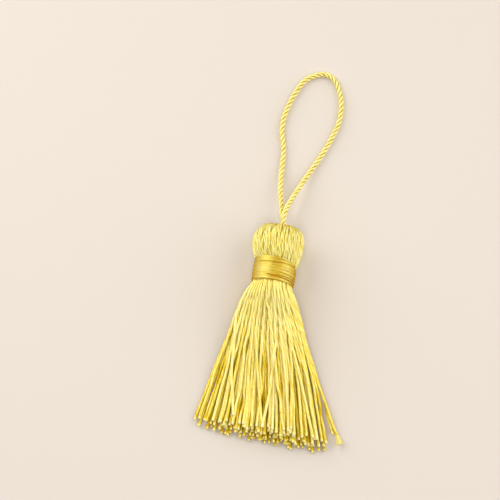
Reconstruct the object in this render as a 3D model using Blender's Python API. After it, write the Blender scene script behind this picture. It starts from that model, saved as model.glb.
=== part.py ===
"""Silk tassel lying on its side: a hanging loop, a head of folded yarns, a wound binding and a cut skirt.

The yarns run from the crown, over the head and through the binding, and fan out as the skirt, so head and
skirt are one solid: the yarns of the skirt stand apart up to their roots just below the binding. The tassel's
axis lies along Y, with the crown at +Y. While it is built, y = 0 is the binding's edge on the skirt's side.
"""

import math
import random

import bmesh
import bpy
import numpy as np
from mathutils import Matrix, Vector

MM = 0.001
GOLDEN = (1.0 + math.sqrt(5.0)) / 2.0
WELD = 1e-7

# The axis lies a little lower than the head's radius, which leaves a small flat spot under the head
AXIS_HEIGHT = 8.55 * MM

# Folded yarns of the head, raised as ribs
HEAD_RADIUS = 9.0 * MM
HEAD_RIBS = 56
RIB_DEPTH = 0.20 * MM

# Outer profile of the yarns, from the roots of the skirt to the pocket in the crown that takes the loop
HEAD_PROFILE_MM = (
    # along, radius
    (-0.95, 7.70),
    (-0.52, 7.45),
    (-0.34, 6.45),
    (8.75, 6.45),
    (8.95, 7.85),
    (10.60, 8.50),
    (14.00, 9.00),
    (16.90, 8.75),
    (19.00, 7.90),
    (20.30, 6.60),
    (20.95, 5.20),
    (21.15, 3.50),
    (21.10, 2.75),
    (20.45, 2.50),
)

# Wound binding: the turns of floss lie side by side round the neck
BINDING_LENGTH = 8.5 * MM
BINDING_BORE = 6.9 * MM
BINDING_RADIUS = 7.6 * MM
BINDING_TURNS = 8
TURN_GROOVE = 0.16 * MM
GROOVE_SHARE = 0.08
BINDING_STEPS = 44

# Skirt: the yarns' roots fill the end of the neck, and their tips lie in a low mound on the floor
YARN_WIDTH = 1.05 * MM
ROOT_WIDTH = 0.98 * MM
ROOT_REACH = 7.0 * MM
ROOT_CELL = 0.95 * MM * MM
TIP_CENTRE = 4.75 * MM
TIP_HALF_WIDTH = 23.4 * MM
TIP_PITCH = 1.50 * MM
TIP_LEAN = 0.85
TIP_JITTER = 0.7 * MM
YARN_WAVE = 0.06 * MM
SKIRT_SEED = 11

# How far the skirt has opened, come down and met the floor at each share of its length
SKIRT_STATIONS = (
    # along, opened, lowered, grounded
    (0.05, 0.11, 0.03, 0.00),
    (0.20, 0.29, 0.28, 0.80),
    (0.44, 0.53, 0.62, 1.00),
    (0.72, 0.78, 0.92, 1.00),
    (1.00, 1.00, 1.00, 1.00),
)

# Where the lowest yarns end: the cut edge is slightly round, and shorter on the left
TIP_REACH_MM = (
    # across, reach
    (-1.0, 50.2),
    (-0.75, 53.0),
    (-0.1, 54.4),
    (0.5, 54.8),
    (0.9, 54.4),
    (1.0, 53.6),
)

# The yarns furthest to the right have sprung away from the rest, and end sooner
STRAY_START = 0.40
STRAY_POWER = 1.6
STRAYS_MM = (
    # outward, shorter
    (5.9, 3.9),
    (3.0, 5.4),
    (1.2, 1.5),
)

# Hanging loop: three plies laid up in a right-handed twist
CORD_RADIUS = 0.97 * MM
CORD_GROOVE = 0.30 * MM
CORD_PLIES = 3
CORD_LAY = 5.9 * MM
STEPS_PER_LAY = 8
ROUTE_DETAIL = 24
PLY_SHOULDER = math.radians(26)

# The loop's route, from the crown round to the crown again: one leg leaves under the other
LOOP_ROUTE_MM = (
    # across, along, height
    (0.0, 20.8, 7.5),
    (-0.4, 24.2, 7.45),
    (-1.1, 26.8, 6.9),
    (-1.9, 30.1, 5.8),
    (-2.8, 34.2, 4.2),
    (-3.5, 38.2, 2.8),
    (-3.9, 42.1, 1.75),
    (-4.2, 46.0, 1.2),
    (-4.8, 52.0, 1.0),
    (-6.3, 57.6, 1.0),
    (-6.7, 62.4, 1.0),
    (-5.9, 67.6, 1.0),
    (-4.3, 73.0, 1.0),
    (-1.8, 78.2, 1.0),
    (1.5, 80.9, 1.0),
    (5.3, 82.2, 1.0),
    (9.0, 80.6, 1.0),
    (11.8, 76.2, 1.0),
    (13.2, 70.6, 1.0),
    (13.2, 64.6, 1.0),
    (11.7, 58.8, 1.0),
    (9.4, 52.3, 1.0),
    (6.8, 46.2, 1.3),
    (5.1, 42.2, 2.2),
    (3.8, 38.7, 3.6),
    (2.4, 34.8, 5.3),
    (1.2, 31.2, 7.1),
    (0.3, 28.2, 8.6),
    (-0.1, 25.4, 9.6),
    (0.0, 20.8, 9.9),
)

SILK = dict(base_color=(0.87, 0.70, 0.19), roughness=0.42)
BINDING_SILK = dict(base_color=(0.80, 0.60, 0.12), roughness=0.30)
CORD_SILK = dict(base_color=(0.88, 0.73, 0.24), roughness=0.40)


def clear_objects():
    for item in list(bpy.data.objects):
        bpy.data.objects.remove(item, do_unlink=True)


def new_collection(name):
    collection = bpy.data.collections.new(name)
    bpy.context.scene.collection.children.link(collection)
    return collection


def silk_material(name, base_color, roughness):
    material = bpy.data.materials.new(name)
    material.use_nodes = True
    shader = material.node_tree.nodes["Principled BSDF"]
    shader.inputs["Base Color"].default_value = (*base_color, 1.0)
    shader.inputs["Roughness"].default_value = roughness
    shader.inputs["Metallic"].default_value = 0.0
    shader.inputs["Sheen Weight"].default_value = 0.3
    return material


def mesh_object(name, bm, collection, material):
    bmesh.ops.recalc_face_normals(bm, faces=bm.faces)
    mesh = bpy.data.meshes.new(name)
    bm.to_mesh(mesh)
    bm.free()
    mesh.materials.append(material)
    mesh.shade_smooth()
    mesh.set_sharp_from_angle(angle=math.radians(50))
    item = bpy.data.objects.new(name, mesh)
    collection.objects.link(item)
    return item


def turned(bm, profile, steps, closed):
    """Turn a profile of (along, radius) points round the Y axis."""
    points = [bm.verts.new((radius, along, 0.0)) for along, radius in profile]
    edges = [bm.edges.new(pair) for pair in zip(points, points[1:])]
    if closed:
        edges.append(bm.edges.new((points[-1], points[0])))
    bmesh.ops.spin(
        bm, geom=points + edges, cent=(0.0, 0.0, 0.0), axis=(0.0, 1.0, 0.0),
        angle=2.0 * math.pi, steps=steps, use_merge=True, use_duplicate=False,
    )
    bmesh.ops.remove_doubles(bm, verts=bm.verts, dist=WELD)


def raise_ribs(bm):
    """Lift every second line of points, so that the folded yarns show as ribs from root to crown."""
    step = math.pi / HEAD_RIBS
    for point in bm.verts:
        radius = math.hypot(point.co.x, point.co.z)
        turn = round(math.atan2(point.co.z, point.co.x) / step)
        side = 1.0 if turn % 2 else -1.0
        factor = 1.0 + side * RIB_DEPTH / HEAD_RADIUS
        point.co.x *= factor
        point.co.z *= factor


def root_places():
    """Places of the roots in the neck's end, as (across, height) from the axis.

    They are a lattice turned by the golden ratio: it stays evenly spaced however far it is drawn out sideways
    and pressed down, which is what the skirt does, so no yarn runs through another.
    """
    scale = math.sqrt(ROOT_CELL / math.sqrt(5.0))
    count = int(2.0 * ROOT_REACH / scale)
    places = []
    for i in range(-count, count + 1):
        for j in range(-count, count + 1):
            across = (i + j * GOLDEN) * scale
            height = (i + j * (1.0 - GOLDEN)) * scale
            if math.hypot(across, height) < ROOT_REACH:
                places.append((across, height))
    return np.array(sorted(places, key=lambda place: place[1]))


def tip_places(roots):
    """Places of the tips: each yarn is let down in turn until it rests on the floor or on a yarn."""
    across = TIP_CENTRE + roots[:, 0] / ROOT_REACH * TIP_HALF_WIDTH
    height = np.zeros(len(roots))
    for i, x in enumerate(across):
        gap = np.abs(across[:i] - x)
        near = gap < TIP_PITCH
        rests = height[:i][near] + TIP_PITCH - gap[near]
        height[i] = max([YARN_WIDTH / 2.0, *rests])
    return np.stack([across, height], axis=1)


def yarn_paths():
    """Middle line of every yarn of the skirt: root and stations, as (yarn, station, x y z)."""
    roots = root_places()
    tips = tip_places(roots)
    rng = random.Random(SKIRT_SEED)
    table = np.array(TIP_REACH_MM) * (1.0, MM)
    reach = np.interp(roots[:, 0] / ROOT_REACH, table[:, 0], table[:, 1])
    reach -= TIP_LEAN * (tips[:, 1] - YARN_WIDTH / 2.0)
    reach += [rng.uniform(-TIP_JITTER, TIP_JITTER) for _ in roots]

    drift = np.zeros(len(roots))
    order = np.argsort(-tips[:, 0])
    for yarn, (outward, shorter) in zip(order, STRAYS_MM):
        drift[yarn] = outward * MM
        reach[yarn] -= shorter * MM

    start = -HEAD_PROFILE_MM[0][0] * MM
    level = np.full(len(roots), -start)
    paths = [np.stack([roots[:, 0], level, roots[:, 1] + AXIS_HEIGHT], axis=1)]
    for along, opened, lowered, grounded in SKIRT_STATIONS:
        stray = max(0.0, (along - STRAY_START) / (1.0 - STRAY_START)) ** STRAY_POWER
        x = roots[:, 0] + opened * (tips[:, 0] - roots[:, 0]) + stray * drift
        z = AXIS_HEIGHT + roots[:, 1]
        z = z + lowered * (tips[:, 1] - z)
        z -= grounded * (z.min() - YARN_WIDTH / 2.0)
        y = -start - along * (reach - start)
        wave = YARN_WAVE * 4.0 * along * (1.0 - along)
        sway = [[rng.uniform(-wave, wave), 0.0, rng.uniform(0.0, wave)] for _ in roots]
        paths.append(np.stack([x, y, z], axis=1) + sway)
    return np.stack(paths, axis=1)


def open_boundary(bm):
    return [edge for edge in bm.edges if edge.is_boundary]


def add_skirt(bm):
    """Close the neck's end round a four-sided root for each yarn, and draw the roots out as the yarns."""
    paths = yarn_paths()
    rim = open_boundary(bm)
    number = bm.faces.layers.int.new("yarn")
    upright = Matrix.Rotation(math.radians(90), 4, "X")
    roots = []
    for yarn, path in enumerate(paths):
        place = Matrix.Translation(path[0]) @ upright
        corners = bmesh.ops.create_circle(
            bm, cap_ends=True, segments=4, radius=ROOT_WIDTH / 2.0, matrix=place,
        )["verts"]
        root = corners[0].link_faces[0]
        root[number] = yarn
        roots.append(root)
    root_edges = [edge for root in roots for edge in root.edges]
    bmesh.ops.triangle_fill(
        bm, use_beauty=True, use_dissolve=False, edges=rim + root_edges, normal=(0, -1, 0),
    )

    ends = roots
    for station in range(1, paths.shape[1]):
        ends = bmesh.ops.extrude_discrete_faces(bm, faces=ends)["faces"]
        for end in ends:
            path = paths[end[number]]
            middle = Vector(path[station - 1])
            for corner in end.verts:
                offset = (corner.co - middle).normalized() * YARN_WIDTH / 2.0
                corner.co = Vector(path[station]) + offset


def build_yarns(collection):
    """Head and skirt: ribbed, turned head and neck, pocket in the crown, roots and yarns."""
    profile = [(along * MM, radius * MM) for along, radius in HEAD_PROFILE_MM]
    bm = bmesh.new()
    turned(bm, profile, 2 * HEAD_RIBS, False)
    raise_ribs(bm)
    bmesh.ops.translate(bm, verts=bm.verts, vec=(0.0, 0.0, AXIS_HEIGHT))
    pocket = [edge for edge in open_boundary(bm) if edge.verts[0].co.y > 0.0]
    bmesh.ops.holes_fill(bm, edges=pocket, sides=0)
    add_skirt(bm)
    for point in bm.verts:
        point.co.z = max(point.co.z, 0.0)
    return mesh_object("yarns", bm, collection, silk_material("yarn_silk", **SILK))


def build_binding(collection):
    """Binding: a sleeve round the neck, with a rounded ridge for each turn of floss."""
    turn = BINDING_LENGTH / BINDING_TURNS
    outer = []
    for i in range(BINDING_TURNS):
        outer.append(((i + GROOVE_SHARE) * turn, BINDING_RADIUS - TURN_GROOVE))
        outer.append(((i + 0.5) * turn, BINDING_RADIUS))
    outer.append(((BINDING_TURNS - GROOVE_SHARE) * turn, BINDING_RADIUS - TURN_GROOVE))
    profile = [(0.0, BINDING_BORE), *outer, (BINDING_LENGTH, BINDING_BORE)]
    bm = bmesh.new()
    turned(bm, profile, BINDING_STEPS, True)
    bmesh.ops.translate(bm, verts=bm.verts, vec=(0.0, 0.0, AXIS_HEIGHT))
    return mesh_object("binding", bm, collection, silk_material("binding_silk", **BINDING_SILK))


def smooth_route(points, step):
    """Points at equal steps along a smooth curve through the given ones."""
    ends = np.vstack([2 * points[0] - points[1], points, 2 * points[-1] - points[-2]])
    fine = []
    for before, start, end, after in zip(ends, ends[1:], ends[2:], ends[3:]):
        for t in np.linspace(0.0, 1.0, ROUTE_DETAIL, endpoint=False):
            fine.append(0.5 * (
                2 * start + (end - before) * t + (2 * before - 5 * start + 4 * end - after) * t * t
                + (3 * start - before - 3 * end + after) * t ** 3
            ))
    fine = np.array([*fine, points[-1]])
    run = np.concatenate([[0.0], np.cumsum(np.linalg.norm(np.diff(fine, axis=0), axis=1))])
    places = np.linspace(0.0, run[-1], round(run[-1] / step) + 1)
    return np.stack([np.interp(places, run, fine[:, axis]) for axis in range(3)], axis=1)


def ply_section(cutters):
    """Guide curve: the cord's section, a lobe for each ply."""
    curve = bpy.data.curves.new("cord_section", "CURVE")
    curve.dimensions = "2D"
    spline = curve.splines.new("POLY")
    corners = []
    for ply in range(CORD_PLIES):
        middle = 2.0 * math.pi * ply / CORD_PLIES
        valley = middle + math.pi / CORD_PLIES
        corners.append((middle - PLY_SHOULDER, CORD_RADIUS))
        corners.append((middle + PLY_SHOULDER, CORD_RADIUS))
        corners.append((valley, CORD_RADIUS - CORD_GROOVE))
    spline.points.add(len(corners) - 1)
    for point, (angle, radius) in zip(spline.points, reversed(corners)):
        point.co = (radius * math.cos(angle), radius * math.sin(angle), 0.0, 1.0)
    spline.use_cyclic_u = True
    guide = bpy.data.objects.new("cord_section", curve)
    guide.hide_render = True
    guide.display_type = "WIRE"
    cutters.objects.link(guide)
    return guide


def build_loop(collection, cutters):
    """Hanging loop: the ply section drawn along the route, turned by one lay after another."""
    route = smooth_route(np.array(LOOP_ROUTE_MM) * MM, CORD_LAY / STEPS_PER_LAY)
    curve = bpy.data.curves.new("hanging_loop", "CURVE")
    curve.dimensions = "3D"
    curve.twist_mode = "Z_UP"
    curve.bevel_mode = "OBJECT"
    curve.bevel_object = ply_section(cutters)
    curve.use_fill_caps = True
    curve.resolution_u = 1
    spline = curve.splines.new("POLY")
    spline.points.add(len(route) - 1)
    for i, (point, place) in enumerate(zip(spline.points, route)):
        point.co = (*place, 1.0)
        point.tilt = 2.0 * math.pi * i / STEPS_PER_LAY
    curve.materials.append(silk_material("cord_silk", **CORD_SILK))
    item = bpy.data.objects.new("hanging_loop", curve)
    collection.objects.link(item)
    return item


def centre_on_base(body, others):
    """Put the origin under the middle of the tassel's own box, the loop left out."""
    corners = np.array([point.co for part in body for point in part.data.vertices])
    middle = (corners.min(axis=0) + corners.max(axis=0)) / 2.0
    shift = Vector((-middle[0], -middle[1], 0.0))
    for part in body + others:
        part.data.transform(Matrix.Translation(shift))


def main():
    clear_objects()
    collection = new_collection("silk_tassel")
    cutters = new_collection("guides")
    yarns = build_yarns(collection)
    binding = build_binding(collection)
    loop = build_loop(collection, cutters)
    centre_on_base([yarns, binding], [loop])


main()
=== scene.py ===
"""Looks of the silk tassel: plied yarns, wound floss and a twisted cord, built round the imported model."""

import math
import random

import bpy
import numpy as np
from mathutils import Matrix, Vector


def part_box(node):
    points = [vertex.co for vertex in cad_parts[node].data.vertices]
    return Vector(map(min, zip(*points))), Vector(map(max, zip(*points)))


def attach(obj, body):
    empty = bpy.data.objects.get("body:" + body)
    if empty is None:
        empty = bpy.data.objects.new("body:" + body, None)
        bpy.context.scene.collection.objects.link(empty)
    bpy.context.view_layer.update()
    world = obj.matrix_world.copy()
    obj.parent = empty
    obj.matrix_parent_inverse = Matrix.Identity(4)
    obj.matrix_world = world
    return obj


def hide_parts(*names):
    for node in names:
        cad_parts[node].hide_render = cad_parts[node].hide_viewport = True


MM = 0.001
GOLDEN = (1.0 + math.sqrt(5.0)) / 2.0

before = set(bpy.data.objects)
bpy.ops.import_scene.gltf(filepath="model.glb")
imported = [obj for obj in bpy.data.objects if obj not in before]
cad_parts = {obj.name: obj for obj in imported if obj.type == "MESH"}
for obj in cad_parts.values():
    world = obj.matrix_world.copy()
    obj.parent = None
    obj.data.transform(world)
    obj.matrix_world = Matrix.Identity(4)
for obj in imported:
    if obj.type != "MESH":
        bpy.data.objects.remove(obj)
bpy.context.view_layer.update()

# Sizes of the solids, as in the part's source: y = 0 is the binding's edge on the skirt's side
AXIS_HEIGHT = 8.55 * MM
BINDING_LENGTH = 8.5 * MM
BINDING_RADIUS = 7.6 * MM
HEAD_YARNS = 56
ROOT_ALONG = -0.95 * MM
ROOT_REACH = 7.0 * MM
ROOT_CELL = 0.95 * MM * MM
YARN_WIDTH = 1.05 * MM
TIP_CENTRE = 4.75 * MM
TIP_HALF_WIDTH = 23.4 * MM
TIP_PITCH = 1.50 * MM
TIP_LEAN = 0.85
TIP_JITTER = 0.7 * MM
YARN_WAVE = 0.06 * MM
SKIRT_SEED = 11
SKIRT_STATIONS = (
    # along, opened, lowered, grounded
    (0.05, 0.11, 0.03, 0.00),
    (0.20, 0.29, 0.28, 0.80),
    (0.44, 0.53, 0.62, 1.00),
    (0.72, 0.78, 0.92, 1.00),
    (1.00, 1.00, 1.00, 1.00),
)
TIP_REACH_MM = (
    # across, reach
    (-1.0, 50.2),
    (-0.75, 53.0),
    (-0.1, 54.4),
    (0.5, 54.8),
    (0.9, 54.4),
    (1.0, 53.6),
)
STRAY_START = 0.40
STRAY_POWER = 1.6
STRAYS_MM = (
    # outward, shorter
    (5.9, 3.9),
    (3.0, 5.4),
    (1.2, 1.5),
)
CORD_RADIUS = 0.97 * MM
CORD_PLIES = 3
CORD_LAY = 5.9 * MM
LOOP_ROUTE_MM = (
    # across, along, height
    (0.0, 20.8, 7.5),
    (-0.4, 24.2, 7.45),
    (-1.1, 26.8, 6.9),
    (-1.9, 30.1, 5.8),
    (-2.8, 34.2, 4.2),
    (-3.5, 38.2, 2.8),
    (-3.9, 42.1, 1.75),
    (-4.2, 46.0, 1.2),
    (-4.8, 52.0, 1.0),
    (-6.3, 57.6, 1.0),
    (-6.7, 62.4, 1.0),
    (-5.9, 67.6, 1.0),
    (-4.3, 73.0, 1.0),
    (-1.8, 78.2, 1.0),
    (1.5, 80.9, 1.0),
    (5.3, 82.2, 1.0),
    (9.0, 80.6, 1.0),
    (11.8, 76.2, 1.0),
    (13.2, 70.6, 1.0),
    (13.2, 64.6, 1.0),
    (11.7, 58.8, 1.0),
    (9.4, 52.3, 1.0),
    (6.8, 46.2, 1.3),
    (5.1, 42.2, 2.2),
    (3.8, 38.7, 3.6),
    (2.4, 34.8, 5.3),
    (1.2, 31.2, 7.1),
    (0.3, 28.2, 8.6),
    (-0.1, 25.4, 9.6),
    (0.0, 20.8, 9.9),
)

# Camera: above the tassel, leaning a little towards the tips, with the tassel's axis leaning to the right
CAMERA_AZIMUTH = math.radians(10.0)
CAMERA_ELEVATION = math.radians(76.0)
CAMERA_DISTANCE = 700.0 * MM
PICTURE_PIXELS = 500.0
PIXELS_PER_MM = 2.85
NECK_PIXEL = (272.3, 284.0)
SENSOR_MM = 36.0

# Studio: soft discs that face the tassel, a dim warm surround and a pale floor
LIGHTS = (
    # name, place, diameter, power
    ("left", (-0.50, 0.26, 0.37), 0.80, 4.35),
    ("right", (0.52, 0.20, 0.36), 1.00, 4.40),
    ("front", (0.0, -0.22, 0.62), 0.30, 1.50),
)
LIGHT_COLOR = (1.0, 0.99, 0.97)
SURROUND_COLOR = (1.0, 0.97, 0.93, 1.0)
SURROUND_STRENGTH = 0.18
FLOOR_SIZE = 4.0
FLOOR_COLOR = (0.70, 0.63, 0.56, 1.0)
FLOOR_ROUGHNESS = 0.8

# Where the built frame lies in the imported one: the binding's box gives the axis and y = 0
binding_low, binding_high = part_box("binding")
SHIFT = np.array([(binding_low.x + binding_high.x) / 2.0, binding_low.y, 0.0])


def built(points):
    """Places over the floor in the built frame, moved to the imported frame."""
    return np.asarray(points, float) + SHIFT


def ramp(values, start, end):
    """0 up to the start, 1 from the end on, straight between them; the end may be the lower one."""
    return np.clip((values - start) / (end - start), 0.0, 1.0)


def read_table(table, places):
    """Values of a table of (place, value) rows, straight between its rows."""
    return np.interp(places, *np.array(table).T)


# Camera, lights and floor

def add_camera():
    sin_a, cos_a = math.sin(CAMERA_AZIMUTH), math.cos(CAMERA_AZIMUTH)
    sin_e, cos_e = math.sin(CAMERA_ELEVATION), math.cos(CAMERA_ELEVATION)
    right = Vector((cos_a, sin_a, 0.0))
    back = Vector((sin_a * cos_e, -cos_a * cos_e, sin_e))
    up = back.cross(right)
    neck = Vector(built((0.0, 0.0, AXIS_HEIGHT)))
    half = PICTURE_PIXELS / 2.0
    aside = (NECK_PIXEL[0] - half) / PIXELS_PER_MM * MM
    below = (NECK_PIXEL[1] - half) / PIXELS_PER_MM * MM
    data = bpy.data.cameras.new("camera")
    data.sensor_width = SENSOR_MM
    data.lens = SENSOR_MM * PIXELS_PER_MM / MM * CAMERA_DISTANCE / PICTURE_PIXELS
    camera = bpy.data.objects.new("camera", data)
    camera.location = neck - right * aside + up * below + back * CAMERA_DISTANCE
    camera.rotation_euler = Matrix((right, up, back)).transposed().to_euler()
    bpy.context.scene.collection.objects.link(camera)
    bpy.context.scene.camera = camera


def add_studio():
    for name, place, diameter, power in LIGHTS:
        data = bpy.data.lights.new(name, "AREA")
        data.shape = "DISK"
        data.size = diameter
        data.energy = power
        data.color = LIGHT_COLOR
        light = bpy.data.objects.new(name, data)
        light.location = place
        light.rotation_euler = Vector(place).to_track_quat("Z", "Y").to_euler()
        bpy.context.scene.collection.objects.link(light)
    world = bpy.data.worlds.new("studio")
    world.use_nodes = True
    background = world.node_tree.nodes["Background"]
    background.inputs["Color"].default_value = SURROUND_COLOR
    background.inputs["Strength"].default_value = SURROUND_STRENGTH
    bpy.context.scene.world = world
    bpy.context.scene.view_settings.view_transform = "Standard"
    bpy.context.scene.view_settings.look = "None"


def add_floor():
    bpy.ops.mesh.primitive_plane_add(size=FLOOR_SIZE)
    floor = bpy.context.object
    floor.name = "floor"
    material = bpy.data.materials.new("floor")
    material.use_nodes = True
    shader = material.node_tree.nodes["Principled BSDF"]
    shader.inputs["Base Color"].default_value = FLOOR_COLOR
    shader.inputs["Roughness"].default_value = FLOOR_ROUGHNESS
    floor.data.materials.append(material)


# Silk materials

SILK_GLOSS = (
    # shader socket, value
    ("Anisotropic", 0.6),
    ("Specular IOR Level", 0.2),
    ("Specular Tint", (1.0, 0.92, 0.55, 1.0)),
    ("Sheen Weight", 0.02),
    ("Sheen Roughness", 0.35),
    ("Sheen Tint", (1.0, 0.95, 0.72, 1.0)),
)

# Fibres: streaks along the thread, which set its tone, roughness and fine relief
FIBRE_DETAIL = 4.0
FIBRE_ROUGHNESS = 0.6
FIBRE_PER_MM = 0.16
FIBRE_TONE = 1.5
FIBRE_SMOOTHEST = -0.09
FIBRE_ROUGHEST = 0.12
FIBRE_BUMP = 0.35
FIBRE_RELIEF = 0.04 * MM

# Tones at which the four colours of a silk stand, from the darkest to the palest
COLOR_PLACES = (0.05, 0.28, 0.50, 0.95)

# Patches of a faint olive shade
OLIVE = (0.88, 0.88, 0.74, 1.0)
OLIVE_SHARE = 0.35
OLIVE_FROM = 0.42
OLIVE_TO = 0.72
OLIVE_SCALE = 170.0
OLIVE_DETAIL = 2.0


def add_math(tree, operation, *values):
    """Output of a math node fed by the values, which are sockets or numbers."""
    node = tree.nodes.new("ShaderNodeMath")
    node.operation = operation
    for socket, value in zip(node.inputs, values):
        if isinstance(value, float):
            socket.default_value = value
        else:
            tree.links.new(value, socket)
    return node.outputs[0]


def add_noise(tree, vector, scale, detail):
    noise = tree.nodes.new("ShaderNodeTexNoise")
    noise.inputs["Scale"].default_value = scale
    noise.inputs["Detail"].default_value = detail
    tree.links.new(vector, noise.inputs["Vector"])
    return noise


def silk_material(name, colors, metallic, roughness, streaks, twist):
    """Silk: fibre streaks along the thread, a tone for each yarn that also carries painted light and shade,
    a satin gloss across the fibres.

    The thread's own coordinates run once round it and, in millimetres, along it. Twist is the share
    of a turn that the streaks make round the thread in a millimetre.
    """
    material = bpy.data.materials.new(name)
    material.use_nodes = True
    tree = material.node_tree
    shader = tree.nodes["Principled BSDF"]
    shader.inputs["Metallic"].default_value = metallic
    for socket, value in SILK_GLOSS:
        shader.inputs[socket].default_value = value

    thread = tree.nodes.new("ShaderNodeUVMap")
    thread.uv_map = "thread"
    parts = tree.nodes.new("ShaderNodeSeparateXYZ")
    tree.links.new(thread.outputs["UV"], parts.inputs[0])
    turned = add_math(tree, "MULTIPLY_ADD", parts.outputs["Y"], twist, parts.outputs["X"])
    angle = add_math(tree, "MULTIPLY", turned, 2.0 * math.pi)
    ring = tree.nodes.new("ShaderNodeCombineXYZ")
    tree.links.new(add_math(tree, "COSINE", angle), ring.inputs["X"])
    tree.links.new(add_math(tree, "SINE", angle), ring.inputs["Y"])
    tree.links.new(add_math(tree, "MULTIPLY", parts.outputs["Y"], FIBRE_PER_MM), ring.inputs["Z"])
    noise = add_noise(tree, ring.outputs[0], streaks, FIBRE_DETAIL)
    noise.inputs["Roughness"].default_value = FIBRE_ROUGHNESS
    fibres = noise.outputs["Fac"]

    # The tone attribute holds each yarn's own tone together with painted light and shade
    tone = tree.nodes.new("ShaderNodeAttribute")
    tone.attribute_name = "tone"
    colored = tree.nodes.new("ShaderNodeValToRGB")
    stops = colored.color_ramp.elements
    stops[0].position = COLOR_PLACES[0]
    stops[1].position = COLOR_PLACES[-1]
    for place in COLOR_PLACES[1:-1]:
        stops.new(place)
    for stop, color in zip(stops, colors):
        stop.color = (*color, 1.0)
    blend = add_math(tree, "MULTIPLY_ADD", fibres, FIBRE_TONE, tone.outputs["Fac"])
    tree.links.new(blend, colored.inputs["Fac"])

    geometry = tree.nodes.new("ShaderNodeNewGeometry")
    patches = add_noise(tree, geometry.outputs["Position"], OLIVE_SCALE, OLIVE_DETAIL)
    share = tree.nodes.new("ShaderNodeMapRange")
    share.inputs["From Min"].default_value = OLIVE_FROM
    share.inputs["From Max"].default_value = OLIVE_TO
    share.inputs["To Max"].default_value = OLIVE_SHARE
    tree.links.new(patches.outputs["Fac"], share.inputs["Value"])
    olive = tree.nodes.new("ShaderNodeMix")
    olive.data_type = "RGBA"
    olive.blend_type = "MULTIPLY"
    olive.inputs["B"].default_value = OLIVE
    tree.links.new(share.outputs[0], olive.inputs["Factor"])
    tree.links.new(colored.outputs["Color"], olive.inputs["A"])
    tree.links.new(olive.outputs["Result"], shader.inputs["Base Color"])

    rough = tree.nodes.new("ShaderNodeMapRange")
    rough.inputs["To Min"].default_value = roughness + FIBRE_SMOOTHEST
    rough.inputs["To Max"].default_value = roughness + FIBRE_ROUGHEST
    tree.links.new(fibres, rough.inputs["Value"])
    tree.links.new(rough.outputs[0], shader.inputs["Roughness"])

    bump = tree.nodes.new("ShaderNodeBump")
    bump.inputs["Strength"].default_value = FIBRE_BUMP
    bump.inputs["Distance"].default_value = FIBRE_RELIEF
    tree.links.new(fibres, bump.inputs["Height"])
    tree.links.new(bump.outputs[0], shader.inputs["Normal"])

    tangent = tree.nodes.new("ShaderNodeTangent")
    tangent.direction_type = "UV_MAP"
    tangent.uv_map = "thread"
    tree.links.new(tangent.outputs[0], shader.inputs["Tangent"])
    return material


# The head's yarns are the same silk as the skirt's, in a copy a little less bright: painted shade over the
# whole head
YARN_SILK = silk_material(
    "yarn_silk", metallic=0.30, roughness=0.46, streaks=2.6, twist=0.10,
    colors=((0.62, 0.40, 0.008), (0.85, 0.65, 0.035), (0.96, 0.84, 0.26), (0.98, 0.90, 0.50)),
)
SHADED_HEAD_SILK = silk_material(
    "shaded_head_silk", metallic=0.30, roughness=0.46, streaks=2.6, twist=0.10,
    colors=((0.57, 0.38, 0.008), (0.76, 0.60, 0.045), (0.86, 0.77, 0.245), (0.90, 0.84, 0.45)),
)
BINDING_SILK = silk_material(
    "binding_silk", metallic=0.74, roughness=0.51, streaks=3.0, twist=0.0,
    colors=((0.56, 0.29, 0.010), (0.70, 0.51, 0.050), (0.77, 0.625, 0.155), (0.88, 0.80, 0.46)),
)
CORD_SILK = silk_material(
    "cord_silk", metallic=0.30, roughness=0.38, streaks=3.2, twist=-0.22,
    colors=((0.62, 0.42, 0.04), (0.80, 0.63, 0.11), (0.96, 0.84, 0.27), (0.99, 0.92, 0.48)),
)


# Threads as meshes

# How far each thread's streaks are moved on from those of the thread before it
STREAK_SHIFT_MM = 7.3


def hermite(knots, values, places):
    """Smooth curves through values (curve, knot, axis) at the given knots, read at the places."""
    knots = np.asarray(knots, float)
    steps = np.diff(knots)
    slopes = np.diff(values, axis=1) / steps[None, :, None]
    tangents = np.empty_like(values)
    tangents[:, 0] = slopes[:, 0]
    tangents[:, -1] = slopes[:, -1]
    before, after = steps[:-1, None], steps[1:, None]
    tangents[:, 1:-1] = (slopes[:, :-1] * after + slopes[:, 1:] * before) / (before + after)
    cell = np.clip(np.searchsorted(knots, places, side="right") - 1, 0, len(steps) - 1)
    width = steps[cell]
    t = ((places - knots[cell]) / width)[None, :, None]
    width = width[None, :, None]
    start, end = values[:, cell], values[:, cell + 1]
    return (
        (2 * t ** 3 - 3 * t ** 2 + 1) * start + (t ** 3 - 2 * t ** 2 + t) * width * tangents[:, cell]
        + (3 * t ** 2 - 2 * t ** 3) * end + (t ** 3 - t ** 2) * width * tangents[:, cell + 1]
    )


def unit(vectors):
    return vectors / np.linalg.norm(vectors, axis=-1, keepdims=True)


def run_of(lines):
    """Length run along each line (line, point)."""
    steps = np.linalg.norm(np.diff(lines, axis=1), axis=2)
    return np.concatenate([np.zeros((len(lines), 1)), np.cumsum(steps, axis=1)], axis=1)


def side_frames(lines, toward):
    """Directions out of each line, nearest to toward, and across it (line, point, axis)."""
    forward = unit(np.gradient(lines, axis=1))
    out = toward - (toward * forward).sum(-1, keepdims=True) * forward
    out = unit(out)
    return out, np.cross(forward, out)


def thread_rings(lines, out, across, section, scale):
    """Rings of an elliptic section (points, 2) along each line; scale is (line, point)."""
    size = scale[:, :, None, None]
    return lines[:, :, None] + size * (
        section[None, None, :, :1] * out[:, :, None] + section[None, None, :, 1:] * across[:, :, None]
    )


def ellipse(half_out, half_across, count):
    angle = 2.0 * math.pi * np.arange(count) / count
    return np.stack([half_out * np.cos(angle), half_across * np.sin(angle)], axis=1)


def dress(piece, node):
    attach(piece, "root")
    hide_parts(node)


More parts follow.
